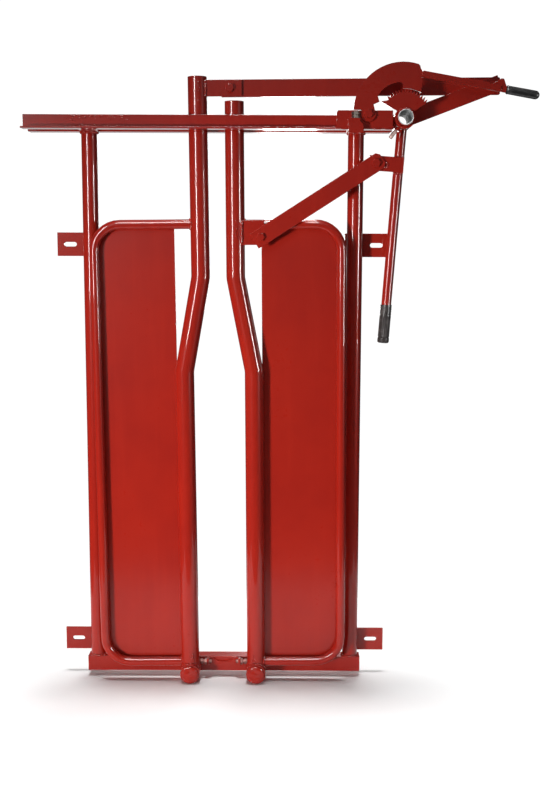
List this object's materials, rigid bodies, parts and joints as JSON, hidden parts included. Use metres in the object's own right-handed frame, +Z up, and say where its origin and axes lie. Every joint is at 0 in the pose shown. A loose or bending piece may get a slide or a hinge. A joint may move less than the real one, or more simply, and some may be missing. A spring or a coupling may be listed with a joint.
{
  "type": "manual cattle head gate",
  "caption": "Manual cattle head gate: two curved-pipe neck leaves swing in a welded frame, linked to a side lever with a toothed sector and pawl.",
  "frame": {"origin": "middle of the underside of the square base tube", "axes": "+X across the gate towards the lever, +Y towards the chute the gate is bolted to, +Z up"},
  "size_m": [1.3251, 0.1678, 1.665],
  "materials": {
    "red_paint": "gloss red enamel over welded steel",
    "black_rubber": "matt black moulded grip",
    "bare_steel": "bare zinc plated steel",
    "dark_steel": "dark bare steel screw"
  },
  "bodies": {
    "frame": {"base_tube": "red_paint", "left_post": "red_paint", "right_post": "red_paint", "front_rail": "red_paint", "rear_rail": "red_paint", "left_spacer": "red_paint", "right_spacer": "red_paint", "left_upper_tab": "red_paint", "left_lower_tab": "red_paint", "right_upper_tab": "red_paint", "right_lower_tab": "red_paint", "left_pivot_pin": "red_paint", "right_pivot_pin": "red_paint", "closing_stop": "red_paint", "left_stop_screw": "bare_steel", "right_stop_screw": "bare_steel", "bracket_plate": "red_paint", "bracket_gusset_left": "red_paint", "bracket_gusset_right": "red_paint", "stop_block": "red_paint", "lift_stop_nut": "dark_steel", "lift_stop_screw": "dark_steel", "pawl_pivot_bolt": "red_paint", "pawl_pivot_nut": "red_paint", "front_bearing": "red_paint", "rear_bearing": "red_paint", "bearing_nut": "red_paint", "bearing_screw": "bare_steel"},
    "left_leaf": {"left_main_tube": "red_paint", "left_sleeve": "red_paint", "left_hoop": "red_paint", "left_panel": "red_paint", "left_lug": "red_paint", "left_lug_bolt": "red_paint", "left_lug_nut": "red_paint"},
    "right_leaf": {"right_main_tube": "red_paint", "right_sleeve": "red_paint", "right_hoop": "red_paint", "right_panel": "red_paint", "right_lug": "red_paint", "right_lug_bolt": "red_paint", "right_lug_nut": "red_paint"},
    "lever": {"hub_shaft": "red_paint", "shaft_collar": "red_paint", "toothed_sector": "red_paint", "crank_arm": "red_paint", "crank_bolt": "red_paint", "handle_pipe": "red_paint", "handle_grip": "black_rubber", "handle_plate": "red_paint", "handle_plate_nut": "red_paint"},
    "top_link": {"top_link": "red_paint", "top_link_nut": "red_paint"},
    "side_link": {"side_link": "red_paint", "side_link_bolt": "red_paint"},
    "pawl": {"pawl_plate": "red_paint", "pawl_arm": "red_paint", "guard_tab": "red_paint", "pawl_grip": "black_rubber"}
  },
  "joints": [
    {"name": "lever_turn", "type": "hinge", "parent": "frame", "child": "lever", "pos_m": [0.4722, -0.04805, 1.5134], "axis": [0, -1, 0], "range_deg": [0, 78]},
    {"name": "left_leaf_swing", "type": "hinge", "parent": "frame", "child": "left_leaf", "pos_m": [-0.0913, -0.04805, 0.0125], "axis": [0, -1, 0], "range_deg": [0, 8.94]},
    {"name": "right_leaf_swing", "type": "hinge", "parent": "frame", "child": "right_leaf", "pos_m": [0.0913, -0.04805, 0.0125], "axis": [0, 1, 0], "range_deg": [0, 9.16]},
    {"name": "top_link_turn", "type": "hinge", "parent": "left_leaf", "child": "top_link", "pos_m": [0.02213, -0.04805, 1.59253], "axis": [0, -1, 0], "range_deg": [0, 4.4]},
    {"name": "side_link_turn", "type": "hinge", "parent": "right_leaf", "child": "side_link", "pos_m": [0.10282, -0.06805, 1.21002], "axis": [0, -1, 0], "range_deg": [0, 16.61]},
    {"name": "pawl_lift", "type": "hinge", "parent": "frame", "child": "pawl", "pos_m": [0.3777, -0.12405, 1.5213], "axis": [0, -1, 0], "range_deg": [0, 6]}
  ],
  "couplings": [
    {"joint": "left_leaf_swing", "follows": "lever_turn", "ratio": 0.11447},
    {"joint": "right_leaf_swing", "follows": "lever_turn", "ratio": 0.11728},
    {"joint": "top_link_turn", "follows": "lever_turn", "ratio": 0.056282},
    {"joint": "side_link_turn", "follows": "lever_turn", "ratio": 0.21288}
  ]
}
